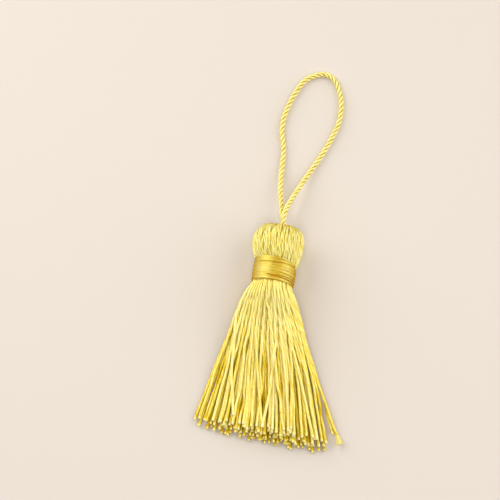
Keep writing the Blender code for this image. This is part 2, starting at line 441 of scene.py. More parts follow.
def add_piece(name, mesh, uv, tones, material, node):
    """Add the mesh as a piece that stands for the node, with its thread coordinates and tones."""
    layer = mesh.uv_layers.new(name="thread")
    layer.data.foreach_set("uv", uv.astype(np.float32).ravel())
    tone = mesh.attributes.new("tone", "FLOAT", "POINT")
    tone.data.foreach_set("value", tones.astype(np.float32).ravel())
    mesh.materials.append(material)
    piece = bpy.data.objects.new(name, mesh)
    bpy.context.scene.collection.objects.link(piece)
    dress(piece, node)
    return piece


def thread_mesh(name, rings, run, tones, material, node):
    """One piece made of many closed threads: rings (thread, ring, point, axis), run (thread, ring).

    The tones are given for each thread, ring and point, or in a shape that spreads to that.
    """
    threads, count, sides, _ = rings.shape
    points = rings.reshape(-1, 3)
    i, j = np.meshgrid(np.arange(count - 1), np.arange(sides), indexing="ij")
    beside = (j + 1) % sides
    quads = np.stack([
        i * sides + j, i * sides + beside, (i + 1) * sides + beside, (i + 1) * sides + j,
    ], axis=-1).reshape(-1, 4)
    starts = np.arange(threads)[:, None, None] * count * sides
    quads = (quads[None] + starts).reshape(-1, 4)
    first = np.arange(sides)[::-1][None] + starts[:, 0]
    last = (np.arange(sides) + (count - 1) * sides)[None] + starts[:, 0]

    mesh = bpy.data.meshes.new(name)
    faces = len(quads) + 2 * threads
    corners = np.concatenate([quads.ravel(), first.ravel(), last.ravel()])
    totals = np.concatenate([np.full(len(quads), 4), np.full(2 * threads, sides)])
    mesh.vertices.add(len(points))
    mesh.vertices.foreach_set("co", points.astype(np.float32).ravel())
    mesh.loops.add(len(corners))
    mesh.loops.foreach_set("vertex_index", corners.astype(np.int32))
    mesh.polygons.add(faces)
    mesh.polygons.foreach_set("loop_start", (np.cumsum(totals) - totals).astype(np.int32))
    mesh.update(calc_edges=True)
    mesh.polygons.foreach_set("use_smooth", np.arange(faces) < len(quads))

    seam = np.stack([j, j + 1, j + 1, j], axis=-1).reshape(-1, 4) / sides
    row = np.stack([i, i, i + 1, i + 1], axis=-1).reshape(-1, 4)
    shift = STREAK_SHIFT_MM * np.arange(threads)[:, None, None]
    uv = np.zeros((len(corners), 2))
    uv[: quads.size, 0] = np.broadcast_to(seam, (threads, *seam.shape)).ravel()
    uv[: quads.size, 1] = (run[:, row] / MM + shift).ravel()
    uv[quads.size:, 0] = 0.5
    return add_piece(name, mesh, uv, np.broadcast_to(tones, rings.shape[:3]), material, node)


# Skirt

def root_places():
    """Places of the roots in the neck's end: the golden lattice of the part's source."""
    scale = math.sqrt(ROOT_CELL / math.sqrt(5.0))
    count = int(2.0 * ROOT_REACH / scale)
    places = []
    for i in range(-count, count + 1):
        for j in range(-count, count + 1):
            across = (i + j * GOLDEN) * scale
            height = (i + j * (1.0 - GOLDEN)) * scale
            if math.hypot(across, height) < ROOT_REACH:
                places.append((across, height))
    return np.array(sorted(places, key=lambda place: place[1]))


def tip_places(roots):
    """Each yarn is let down in turn until it rests on the floor or on a yarn that is already down."""
    across = TIP_CENTRE + roots[:, 0] / ROOT_REACH * TIP_HALF_WIDTH
    height = np.zeros(len(roots))
    for i, x in enumerate(across):
        gap = np.abs(across[:i] - x)
        near = gap < TIP_PITCH
        rests = height[:i][near] + TIP_PITCH - gap[near]
        height[i] = max([YARN_WIDTH / 2.0, *rests])
    return np.stack([across, height], axis=1)


def yarn_paths():
    """Roots, tips and middle lines of the skirt's yarns, as in the part's source."""
    roots = root_places()
    tips = tip_places(roots)
    rng = random.Random(SKIRT_SEED)
    table = np.array(TIP_REACH_MM) * (1.0, MM)
    reach = np.interp(roots[:, 0] / ROOT_REACH, table[:, 0], table[:, 1])
    reach -= TIP_LEAN * (tips[:, 1] - YARN_WIDTH / 2.0)
    reach += [rng.uniform(-TIP_JITTER, TIP_JITTER) for _ in roots]

    drift = np.zeros(len(roots))
    order = np.argsort(-tips[:, 0])
    for yarn, (outward, shorter) in zip(order, STRAYS_MM):
        drift[yarn] = outward * MM
        reach[yarn] -= shorter * MM

    paths = [np.stack([roots[:, 0], np.full(len(roots), ROOT_ALONG), roots[:, 1] + AXIS_HEIGHT], axis=1)]
    for along, opened, lowered, grounded in SKIRT_STATIONS:
        stray = max(0.0, (along - STRAY_START) / (1.0 - STRAY_START)) ** STRAY_POWER
        x = roots[:, 0] + opened * (tips[:, 0] - roots[:, 0]) + stray * drift
        z = AXIS_HEIGHT + roots[:, 1]
        z = z + lowered * (tips[:, 1] - z)
        z -= grounded * (z.min() - YARN_WIDTH / 2.0)
        y = ROOT_ALONG - along * (reach + ROOT_ALONG)
        wave = YARN_WAVE * 4.0 * along * (1.0 - along)
        sway = [[rng.uniform(-wave, wave), 0.0, rng.uniform(0.0, wave)] for _ in roots]
        paths.append(np.stack([x, y, z], axis=1) + sway)
    return roots, tips, np.stack(paths, axis=1)


# Two plies to a yarn, laid up in a left-handed twist that is looser towards the tips. Pairs of limits,
# such as LAY_RANGE, are those of random values
LINES_SEED = 5
PLIES_SEED = 8
PLY_OUT = 0.34 * MM
PLY_ACROSS = 0.42 * MM
PLY_OFFSET = 0.21 * MM
PLY_SIDES = 8
YARN_RINGS = 100
LAST_RING_BUT_ONE = 0.996
LAY_MM = (
    # share of the length, lay
    (0.00, 40.0),
    (0.08, 14.0),
    (0.25, 8.0),
    (1.00, 17.0),
)
LAY_RANGE = (0.8, 1.25)

# Turn of the first ply under the binding, in half turns from outward, and where outward becomes upward
TURN_RANGE = (0.42, 0.58)
UPWARD_AFTER = 0.25

WIDTHS = (
    # share of the length, width to the ply's own
    (0.00, 0.92),
    (0.10, 1.00),
    (0.35, 1.10),
    (1.00, 1.18),
)
WIDTH_RANGE = (0.92, 1.08)
SPREADS = (
    # share of the length, distance of the plies to their own
    (0.00, 1.50),
    (0.25, 1.15),
    (0.50, 0.62),
    (1.00, 0.50),
)
END_WIDTHS_MM = (
    # distance from the cut end, width
    (0.00, 0.80),
    (0.02, 0.94),
    (0.25, 1.14),
    (0.60, 1.12),
    (1.60, 1.00),
)
END_REGION = 1.6 * MM
END_CLOSING = 0.75

# The yarns start under the binding, closer to the axis than their roots
TUCKED = (
    # share of the length, along, share of the root's distance from the axis
    (-0.06, 2.2 * MM, 0.88),
    (-0.03, 0.4 * MM, 0.96),
)

# Neighbours lean together in clumps, and each yarn has slow waves of its own
CLUMPS_MM = (
    # push, pitch across, turns for each mm of height, turns for the length, phase
    (0.42, 4.6, 0.21, 0.35, 0.8),
    (0.26, 2.9, -0.33, -0.5, 2.1),
)
CLUMP_POWER = 1.3
WAVE_TURNS = (1.2, 3.4)
WAVES_MM = (0.04, 0.16)
WAVE_POWER = 0.5
WAVE_RISE = 0.7

# The middle of the fan swings aside on its way down
SWING = 3.4 * MM
SWING_START = 0.20
SWING_SHARES = (
    # root across, share of the swing
    (-1.00, 0.00),
    (-0.71, 0.85),
    (-0.43, 1.00),
    (0.14, 0.85),
    (0.43, 0.50),
    (0.71, 0.20),
    (1.00, 0.00),
)

# Sideways corrections of the outline, for the right and the left, and of the outermost tips from the edge in
DRAWN_IN_MM = (
    # share of the length, inward
    (0.000, 0.10),
    (0.030, 0.80),
    (0.075, 1.35),
    (0.120, 1.20),
    (0.190, 0.80),
    (0.350, 0.80),
    (0.550, 0.00),
)
DRAWN_IN_FROM = -0.2
LET_OUT_MM = (
    # share of the length, outward
    (0.03, 0.00),
    (0.10, 0.45),
    (0.20, 0.45),
    (0.35, 0.00),
)
RIGHT_SHIFTS_MM = (-1.2, 0.1, 0.7, 1.4, 1.4, 1.2, 0.9, 0.6, 0.3)
LEFT_SHIFTS_MM = (-0.5, -0.9, -0.8, -0.9, -0.6, -0.5, -0.3)

# Cut ends: longer on the left, and uneven
TIP_LONGER_MM = (
    # root across, longer
    (-1.0, 0.9),
    (-0.4, 0.3),
    (0.5, 0.0),
    (1.0, -0.6),
)
LENGTH_JITTER = 0.70 * MM

# Places where neighbouring yarns part and the dark shows between them. A yarn counts as lying where its
# tip is, moved on by the swing times this factor
GAP_SWING = 1.5
GAP_PUSH = 0.66 * MM
GAP_EDGE_MM = 0.3
GAP_REACH_MM = 1.15
GAP_WIDTH_MM = 0.75
GAPS_MM = (
    # tip across at the start and the end of the gap, start, end (shares of the length)
    (-6.7, -5.2, 0.34, 0.55),
    (2.1, 3.6, 0.40, 0.74),
    (11.8, 12.8, 0.56, 0.78),
    (5.4, 5.9, 0.70, 0.88),
    (18.4, 21.4, 0.27, 0.74),
    (15.6, 16.3, 0.60, 0.92),
    (-10.2, -8.8, 0.40, 0.72),
    (2.4, 3.0, 0.08, 0.20),
    (10.6, 11.2, 0.62, 0.76),
    (-15.0, -14.4, 0.50, 0.84),
    (26.0, 26.8, 0.62, 0.90),
    (8.0, 8.4, 0.30, 0.50),
    (-2.6, -1.8, 0.74, 0.96),
)

# Yarns that lie loose on top of the mound and cross their neighbours
RIDER_RISE = 0.80 * MM
RIDERS_MM = (
    # tip across, from (share of the length), moved aside at the tip, shorter
    (-2.2, 0.34, 9.0, 0.6),
    (3.4, 0.10, 10.2, 0.9),
    (17.2, 0.24, 6.6, 0.2),
    (16.6, 0.30, -3.2, 1.4),
    (8.5, 0.45, -2.6, -0.3),
    (22.0, 0.25, 3.6, 0.8),
    (-9.5, 0.35, 1.8, 1.2),
    (-17.4, 0.27, 11.5, 2.6),
)
RIDER_TIP_REACH_MM = 1.3
RIDER_REACH = 1.0 * MM
RIDER_START = 0.06
RIDER_POWER = 1.15
RIDER_SMOOTHED = 9

# The middle lines stay half a yarn's width over the floor, or at the neck this share of it
NECK_CLEARANCE = 0.8

# A yarn's depth in the mound is taken from the highest tip within this distance across
DEPTH_REACH = 1.6 * MM

# Tones: each yarn's own; painted shade deep in the mound and in gaps, a painted highlight at the cut ends,
# painted shade under them
TONE = -0.30
YARN_TONES = 0.14
DEPTH_SHADE = 0.12
DEEPEST_MM = 3.0
# Tones added along the skirt; their rise just below the binding is painted light
NECK_TONES = (
    # share of the length, tone
    (0.00, 0.05),
    (0.10, 0.13),
    (0.30, 0.15),
    (0.60, 0.09),
)
GAP_SHADE = 0.42
GAP_DEPTH = 1.2 * MM
# A painted highlight on the last part of each yarn, and painted shade before the ends of deep-lying yarns
TIP_PAINTED_LIGHT = 0.55
TIP_LENGTH = 1.2 * MM
UNDER_TIP_SHADE = 0.084
UNDER_TIP_DEEPEST_MM = 2.5
UNDER_TIP_LENGTH = 5.0 * MM

# How much of its own tone and painted depth shade a yarn has at the neck, and the share of its length from
# which it has all of it
TONES_EVEN = 0.25
TONES_FREE = 0.30

# Painted shade on the plies' inner sides and on the yarns' flanks, most on their undersides, and how strong
# it is along a yarn
INNER_SHADE = 0.28
INNER_FACING = 0.35
FLANK_SHADE = 0.32
FLANK_HEIGHT = 0.6 * YARN_WIDTH
FLANK_FACING = 0.4
FLANK_MOST = 1.4
SIDES_SHADED = (
    # share of the length, share of the shade
    (0.123, 0.12),
    (0.417, 1.00),
)
SIDES_NEAR_TIP = 1.6
SIDES_AT_TIP = -1.2

# Frayed end of the yarn that strays furthest
FRAY_SEED = 14
FRAY_FIBRES = 13
FRAY_RINGS = 12
FRAY_START = 1.2 * MM
FRAY_LENGTH = 3.4 * MM
FRAY_LENGTHS = (0.8, 1.1)
FRAY_ROOT = 0.45 * MM
FRAY_WIDTH = 0.75 * MM
FRAY_POWER = 1.4
FRAY_HEIGHTS_MM = (-0.25, 0.30)
FRAY_LOWEST = 0.16 * MM
FRAY_OUT = 0.15 * MM
FRAY_ACROSS = 0.17 * MM
FRAY_SIDES = 6
FRAY_TONE = 0.25

UP = np.array([0.0, 0.0, 1.0])


def skirt_lines():
    """Middle lines of the yarns, from under the binding to the cut ends.

    Also each yarn's depth in the mound, how near its points are to a gap, and their shares of its length.
    """
    roots, tips, paths = yarn_paths()
    rng = np.random.default_rng(LINES_SEED)
    tucks = []
    for _, along, share in TUCKED:
        tucks.append(np.stack([
            roots[:, 0] * share, np.full(len(roots), along), AXIS_HEIGHT + roots[:, 1] * share,
        ], axis=1))
    values = np.concatenate([np.stack(tucks, axis=1), paths], axis=1)
    knots = [*[row[0] for row in TUCKED], 0.0, *[row[0] for row in SKIRT_STATIONS]]
    places = np.append(np.linspace(knots[0], LAST_RING_BUT_ONE, YARN_RINGS - 1), 1.0)
    lines = hermite(knots, values, places)
    grown = np.clip(places, 0.0, 1.0)[None]

    across, height = tips[:, :1] / MM, tips[:, 1:] / MM
    clump = np.zeros(lines.shape[:2])
    for push, pitch, by_height, by_length, phase in CLUMPS_MM:
        turns = across / pitch + by_height * height + by_length * grown
        clump += push * np.sin(2 * math.pi * turns + phase)
    phase = rng.uniform(0, 2 * math.pi, (2, len(roots), 1))
    turns = rng.uniform(*WAVE_TURNS, (2, len(roots), 1))
    size = rng.uniform(*WAVES_MM, (2, len(roots), 1))
    waves = size * np.sin(2 * math.pi * turns * grown + phase) * grown ** WAVE_POWER
    lines[:, :, 0] += (clump * grown ** CLUMP_POWER + waves[0]) * MM
    lines[:, :, 2] += waves[1] * MM * WAVE_RISE

    side = roots[:, :1] / ROOT_REACH
    share = ramp(grown, SWING_START, 1.0)
    swing = SWING * read_table(SWING_SHARES, side) * share ** 2 * (3.0 - 2.0 * share)
    lines[:, :, 0] += swing

    parted = np.zeros(lines.shape[:2])
    for start_across, end_across, start, end in GAPS_MM:
        share = ramp(grown, start, end)
        aside = across + GAP_SWING * swing / MM - start_across - share * (end_across - start_across)
        opened = np.sin(math.pi * share) ** 2
        push = GAP_PUSH * np.tanh(aside / GAP_EDGE_MM) * np.exp(-(aside / GAP_REACH_MM) ** 2)
        lines[:, :, 0] += push * opened
        parted = np.maximum(parted, np.exp(-(aside / GAP_WIDTH_MM) ** 2) * opened)

    from_right = np.argsort(-tips[:, 0])
    strays = from_right[:len(STRAYS_MM)]
    longer = rng.uniform(-LENGTH_JITTER, LENGTH_JITTER, (len(roots), 1))
    longer += MM * read_table(TIP_LONGER_MM, side)
    longer[strays] = 0.0
    lines[:, :, 1] -= longer * grown

    inward = ramp(side, DRAWN_IN_FROM, DRAWN_IN_FROM + 1.0)
    lines[:, :, 0] -= MM * inward * read_table(DRAWN_IN_MM, grown)
    lines[:, :, 0] -= MM * ramp(side, 0.0, -1.0) * read_table(LET_OUT_MM, grown)
    for order, shifts in ((from_right, RIGHT_SHIFTS_MM), (from_right[::-1], LEFT_SHIFTS_MM)):
        for yarn, aside in zip(order, shifts):
            lines[yarn, :, 0] += aside * MM * grown[0]

    add_riders(lines, tips, swing, grown[0], set(strays))
    floor = 0.5 * YARN_WIDTH * np.minimum(1.0, NECK_CLEARANCE + grown)
    lines[:, :, 2] = np.maximum(lines[:, :, 2], floor)
    beside = np.abs(tips[:, :1] - tips[:, 0][None]) < DEPTH_REACH
    depth = np.where(beside, tips[:, 1][None], 0.0).max(axis=1) - tips[:, 1]
    return lines, depth[:, None], parted, grown


def add_riders(lines, tips, swing, grown, used):
    """Move the topmost free yarn near each rider's tip aside, and lay it over what is then under it."""
    for across, start, aside, shorter in RIDERS_MM:
        near = np.nonzero(np.abs(tips[:, 0] / MM - across) < RIDER_TIP_REACH_MM)[0]
        rider = max([yarn for yarn in near if yarn not in used], key=lambda yarn: tips[yarn, 1])
        used.add(rider)
        lines[rider, :, 0] += aside * MM * ramp(grown, start, 1.0) ** RIDER_POWER - swing[rider]
        lines[rider, :, 1] += shorter * MM * grown
        beside = np.abs(lines[:, :, 0] - lines[rider, :, 0]) < RIDER_REACH
        beside[rider] = False
        top = np.where(beside, lines[:, :, 2], 0.0).max(axis=0) + RIDER_RISE
        weights = np.ones(RIDER_SMOOTHED) / RIDER_SMOOTHED
        top = np.convolve(np.pad(top, RIDER_SMOOTHED // 2, mode="edge"), weights, mode="valid")
        risen = ramp(grown, start - RIDER_START, start + RIDER_START)
        lines[rider, :, 2] += risen * np.maximum(0.0, top - lines[rider, :, 2])


def inner_shade(sides):
    """Painted shade on a ply's points towards the thread that it is laid up in."""
    facing = np.cos(2 * math.pi * np.arange(sides) / sides)
    return INNER_SHADE * np.clip(INNER_FACING - facing, 0.0, 1.0)


def lay_up(lines, outward, width, turn, spread, section):
    """Rings of the two plies of each yarn: (two plies of all yarns, ring, point, axis)."""
    out, across = side_frames(lines, outward)
    plies = []
    for ply in range(2):
        angle = (turn + ply * math.pi)[:, :, None]
        ply_out = np.cos(angle) * out + np.sin(angle) * across
        ply_across = np.cos(angle) * across - np.sin(angle) * out
        middle = lines + spread[:, :, None] * ply_out
        plies.append(thread_rings(middle, ply_out, ply_across, section, width))
    return plies


def build_fray(line):
    """Fibres that fan out of the end of a yarn."""
    rng = np.random.default_rng(FRAY_SEED)
    forward = unit(line[-1] - line[-4])
    aside = unit(np.cross(forward, UP))
    share = np.linspace(0.0, 1.0, FRAY_RINGS)[None, :, None]
    fan = np.linspace(-1.0, 1.0, FRAY_FIBRES)[:, None, None]
    length = FRAY_LENGTH * rng.uniform(*FRAY_LENGTHS, (FRAY_FIBRES, 1, 1))
    height = rng.uniform(*FRAY_HEIGHTS_MM, (FRAY_FIBRES, 1)) * MM
    lines = line[-1] + (share * length - FRAY_START) * forward
    lines = lines + fan * (FRAY_ROOT + FRAY_WIDTH * share ** FRAY_POWER) * aside
    lines[:, :, 2] = np.maximum(lines[:, :, 2] + height, FRAY_LOWEST)
    out, across = side_frames(lines, UP)
    section = ellipse(FRAY_OUT, FRAY_ACROSS, FRAY_SIDES)
    rings = thread_rings(lines, out, across, section, np.ones(lines.shape[:2]))
    tones = TONE + rng.uniform(0.0, FRAY_TONE, (FRAY_FIBRES, 1, 1))
    thread_mesh("frayed_end", rings, run_of(lines), tones, YARN_SILK, "yarns")


def build_skirt():
    lines, depth, parted, grown = skirt_lines()
    rng = np.random.default_rng(PLIES_SEED)
    count = len(lines)
    lines = built(lines)
    run = run_of(lines)
    left = run[:, -1:] - run
    width = read_table(WIDTHS, grown) * rng.uniform(*WIDTH_RANGE, (count, 1))
    lay = read_table(LAY_MM, grown) * MM * rng.uniform(*LAY_RANGE, (count, 1))
    steps = np.diff(run, axis=1, prepend=0.0)
    turn = math.pi * rng.uniform(*TURN_RANGE, (count, 1)) - 2 * math.pi * np.cumsum(steps / lay, axis=1)
    closed = 1.0 - END_CLOSING * ramp(left, END_REGION, 0.0)
    spread = PLY_OFFSET * width * read_table(SPREADS, grown) * closed
    width = width * read_table(END_WIDTHS_MM, left / MM)
    radial = unit((lines[:, :1] - built([0.0, 0.0, AXIS_HEIGHT])) * (1.0, 0.0, 1.0))
    outward = radial + (UP - radial) * ramp(grown, 0.0, UPWARD_AFTER)[:, :, None]
    plies = lay_up(lines, outward, width, turn, spread, ellipse(PLY_OUT, PLY_ACROSS, PLY_SIDES))

    own_and_depth_shade = rng.uniform(-YARN_TONES, YARN_TONES, (count, 1))
    # Painted shade for yarns that lie deep in the mound
    own_and_depth_shade = own_and_depth_shade - DEPTH_SHADE * np.minimum(depth / MM, DEEPEST_MM)
    own_and_depth_shade = own_and_depth_shade * (TONES_EVEN + (1.0 - TONES_EVEN) * ramp(grown, 0.0, TONES_FREE))
    # Painted light along the skirt, most below the binding, and painted shade in the gaps
    tone = TONE + own_and_depth_shade + read_table(NECK_TONES, grown) - GAP_SHADE * parted * ramp(depth, 0.0, GAP_DEPTH)
    # Painted highlight at the cut ends, painted shade before the ends of deep-lying yarns
    tip = ramp(left, TIP_LENGTH, 0.0)
    near_tip = ramp(left, UNDER_TIP_LENGTH, 0.0)
    under = np.minimum(depth / MM, UNDER_TIP_DEEPEST_MM) * (near_tip - tip)
    tone = tone + TIP_PAINTED_LIGHT * tip - UNDER_TIP_SHADE * under
    # Painted shade on the plies' inner sides and on the yarns' lower flanks
    shaded = read_table(SIDES_SHADED, grown) + parted + SIDES_NEAR_TIP * near_tip + SIDES_AT_TIP * tip
    tones = []
    for ply in plies:
        facing = (ply[..., 2] - lines[:, :, None, 2]) / FLANK_HEIGHT
        flank = FLANK_SHADE * np.clip(FLANK_FACING - facing, 0.0, FLANK_MOST)
        tones.append(tone[:, :, None] - (inner_shade(PLY_SIDES) + flank) * shaded[:, :, None])

    build_fray(lines[np.argmax(lines[:, -1, 0])])
    names = ("skirt_lower", "skirt_middle", "skirt_upper")
    for name, group in zip(names, np.array_split(np.arange(count), len(names))):
        thread_mesh(
            name, np.concatenate([ply[group] for ply in plies]), np.concatenate([run[group]] * 2),
            np.concatenate([tone[group] for tone in tones]), YARN_SILK, "yarns",
        )


# Head

HEAD_LINE_MM = (
    # along, radius of the yarns' middle lines
    (6.60, 6.30),
    (7.90, 6.75),
    (8.90, 7.35),
    (10.40, 7.92),
    (12.20, 8.36),
    (14.20, 8.55),
    (16.20, 8.42),
    (18.00, 7.92),
    (19.30, 7.05),
    (20.15, 5.90),
    (20.60, 4.60),
    (20.70, 3.40),
    (20.30, 2.40),
    (19.40, 1.90),
)
HEAD_SEED = 21
HEAD_RINGS = 64
HEAD_LAY = 8.5 * MM
HEAD_PLY_OUT = 0.28 * MM
HEAD_PLY_ACROSS = 0.37 * MM
HEAD_PLY_OFFSET = 0.24 * MM
HEAD_WIDTHS = (0.93, 1.07)
HEAD_WIDTH_RANGE = (0.40, 1.02)
OVER_WIDTH = 1.35
UNDER_WIDTH = 1.15

# How the head's yarns differ: places and slants round the axis, and waves round it and out of it
HEAD_PLACES = 0.22
HEAD_SLANT = 0.045
HEAD_SWAY = 0.028
HEAD_SWAY_TURNS = (1.0, 2.5)
HEAD_RADII = 0.08
HEAD_WAVE = 0.09
HEAD_WAVE_TURNS = (1.5, 3.0)

# At the crown every second yarn sinks under its neighbours, from the outer to the inner radius
CROWN_OUTER = 7.4 * MM
CROWN_INNER = 4.2 * MM
CROWN_SINK = 0.45 * MM

# The head leans a little to the left, and hangs over the binding's lower corner on the right
CROWN_ALONG = 20.7 * MM
HEAD_LEAN = 0.50 * MM
EDGE_DROP = 1.1 * MM
DROP_FROM = 13.0 * MM
DROP_TO = 9.0 * MM

# Lowest places of the yarns' middle lines and of their faces
HEAD_LINE_LOWEST = 0.45 * MM
HEAD_FACE_LOWEST = 0.03 * MM

# The head's tones: brighter than the skirt's, with painted shade at the crown and on the plies' inner sides
HEAD_TONE = 0.13
HEAD_TONES = 0.09
CROWN_SHADE = 0.70
HEAD_INNER = 0.8

# The yarns under the outer ones of the head and in the neck, as one turned form. It lies a little
# closer to the axis than their middle lines, and within the top's radius a little lower along it
CORE_STEPS = 72
CORE_SINK = 0.30 * MM
CORE_TOP = 6.3 * MM
CORE_LOWEST = 0.02 * MM
CORE_NECK_MM = (
    # along, radius
    (-4.50, 5.50),
    (-0.95, 6.35),
    (0.00, 6.40),
    (6.40, 6.10),
)
# Tones of the form: painted shade seen between the yarns over it, deeper up the head and darkest at the
# crown
CORE_TONES_MM = (
    # along, tone
    (-1.0, -0.20),
    (6.0, -0.35),
    (15.0, -0.40),
    (19.0, -0.75),
)


def edge_drop(angles):
    """How far the binding's upper edge, and the head over it, lie lower on the right."""
    return EDGE_DROP * np.clip(np.cos(angles), 0.0, 1.0) ** 2


def build_head():
    rng = np.random.default_rng(HEAD_SEED)
    table = np.array(HEAD_LINE_MM) * MM
    knots = np.arange(len(table), dtype=float)
    base = hermite(knots, table[None], np.linspace(0.0, knots[-1], HEAD_RINGS))[0]
    count = HEAD_YARNS
    order = np.arange(count)
    under = (order % 2 == 1)[:, None]
    share = np.linspace(0.0, 1.0, HEAD_RINGS)[None]
    angle = 2 * math.pi * (order + rng.uniform(-HEAD_PLACES, HEAD_PLACES, count)) / count
    slant = rng.normal(0.0, HEAD_SLANT, count)
    bend = rng.uniform(*HEAD_SWAY_TURNS, (count, 1)) * share + rng.uniform(0, 1, (count, 1))
    angles = angle[:, None] + slant[:, None] * (share - 0.5) * 2 + HEAD_SWAY * np.sin(2 * math.pi * bend)
    along, radius = base[:, 0] + np.zeros((count, 1)), base[:, 1] + np.zeros((count, 1))
    near_crown = ramp(radius, CROWN_OUTER, CROWN_INNER)
    along -= np.where(under, CROWN_SINK, 0.0) * near_crown
    along -= edge_drop(angles) * ramp(along, DROP_FROM, DROP_TO)
    bend = rng.uniform(*HEAD_WAVE_TURNS, (count, 1)) * share + rng.uniform(0, 1, (count, 1))
    radius += (rng.normal(0.0, HEAD_RADII, (count, 1)) + HEAD_WAVE * np.sin(2 * math.pi * bend)) * MM
    lines = np.stack([radius * np.cos(angles), along, AXIS_HEIGHT + radius * np.sin(angles)], axis=2)
    lines[:, :, 2] = np.maximum(lines[:, :, 2], HEAD_LINE_LOWEST)
    lines[:, :, 0] -= HEAD_LEAN * np.sin(math.pi * ramp(along, BINDING_LENGTH, CROWN_ALONG))
    lines = built(lines)
    outward = np.stack([np.cos(angles), np.zeros_like(angles), np.sin(angles)], axis=2)
    spacing = 2 * math.pi * radius / count / YARN_WIDTH
    width = np.clip(spacing * np.where(under, UNDER_WIDTH, OVER_WIDTH), *HEAD_WIDTH_RANGE)
    width = width * rng.uniform(*HEAD_WIDTHS, (count, 1))
    run = run_of(lines)
    lay = HEAD_LAY * rng.uniform(*LAY_RANGE, (count, 1))
    turn = -2 * math.pi * run / lay + rng.uniform(0, 2 * math.pi, (count, 1))
    section = ellipse(HEAD_PLY_OUT, HEAD_PLY_ACROSS, PLY_SIDES)
    plies = lay_up(lines, outward, width, turn, HEAD_PLY_OFFSET * width, section)
    for ply in plies:
        ply[..., 2] = np.maximum(ply[..., 2], HEAD_FACE_LOWEST)
    # Painted shade at the crown and on the plies' inner sides
    tone = TONE + HEAD_TONE + rng.uniform(-HEAD_TONES, HEAD_TONES, (count, 1)) - CROWN_SHADE * near_crown
    tone = tone[:, :, None] - HEAD_INNER * inner_shade(PLY_SIDES)
    thread_mesh(
        "head_yarns", np.concatenate(plies), np.concatenate([run, run]), np.concatenate([tone, tone]),
        SHADED_HEAD_SILK, "yarns",
    )


def build_core():
    outer = np.array(HEAD_LINE_MM)[1:] * MM
    sunk = outer - np.where(outer[:, 1:] > CORE_TOP, (0.0, CORE_SINK), (CORE_SINK, 0.0))
    rows = np.concatenate([np.array(CORE_NECK_MM) * MM, sunk])[::-1]
    along, radius = rows[:, :1], rows[:, 1:]
    angle = 2 * math.pi * np.arange(CORE_STEPS) / CORE_STEPS
    height = np.maximum(AXIS_HEIGHT + radius * np.sin(angle), CORE_LOWEST)
    rings = np.stack([radius * np.cos(angle), along + 0.0 * angle, height], axis=2)
    run = run_of(np.concatenate([rows, 0.0 * along], axis=1)[None])
    # Painted shade, darkest at the crown
    tones = read_table(CORE_TONES_MM, along / MM)
    thread_mesh("under_yarns", built(rings)[None], run, tones, YARN_SILK, "yarns")


# Binding

BINDING_SEED = 3
BINDING_STEPS = 264
BINDING_ROWS = 150
BORE_RADIUS = 6.75 * MM

# Thread coordinates of the floss: across for each row, and its length in millimetres round the neck
FLOSS_UV = (0.02, 47.0)

FLOSS_TURNS = 34
FLOSS_DEPTH = 0.035 * MM
FLOSS_POWER = 0.7
FLOSS_SINK = 0.09 * MM
FLOSS_TONES = 0.10
BANDS = 8
BAND_DEPTH = 0.06 * MM
BAND_POWER = 0.6
# Painted shade in the grooves between the bands, a little painted light on their crests
BAND_PAINTED_SHADE = 0.10
BAND_MIDDLE = 0.8
BARREL = 0.20 * MM

# Its turns tilt a little, its edges are round, and its upper edge sinks where it lies lower
TILTS = (
    # share of the length, waves round it, phase
    (0.010, 1, 1.0),
    (0.006, 3, 0.0),
)
EDGE_ROUND = 0.14 * MM
EDGE_REGION = 0.030
DROP_SINK = 0.4
DROP_REGION = 0.6

# Painted shade: its sides and a band over its top are darker
SIDE_SHADE = 0.34
SIDE_FROM = 0.70
SIDE_TO = 0.98
SIDE_LOWEST = -0.5
TOP_SHADE = 0.20
TOP_ANGLE = 94.0
TOP_WIDTH = 17.0

# Deep lines between turns, and one turn that stands proud; painted shade in the lines, painted light on the
# proud turn
LINE_SHADE = 1.25
LINE_FADE = 25.0
LINE_ANGLES = (30.0, 90.0, 165.0)
BINDING_LINES = (
    # height at the left, the middle and the right; from and to angle from the left; depth (mm), half width
    (0.72, 0.735, 0.86, 20, 175, 0.24, 0.022),
    (0.45, 0.43, 0.56, 95, 180, 0.15, 0.018),
    (0.24, 0.175, 0.08, 60, 185, 0.34, 0.019),
    (0.26, 0.215, 0.21, 92, 185, 0.28, 0.018),
    (0.40, 0.36, 0.31, 96, 185, 0.24, 0.018),
    (0.95, 0.95, 0.95, 92, 175, -0.14, 0.030),
    (0.88, 0.885, 0.93, 84, 170, 0.12, 0.014),
    (0.56, 0.56, 0.66, 100, 178, 0.10, 0.014),
)


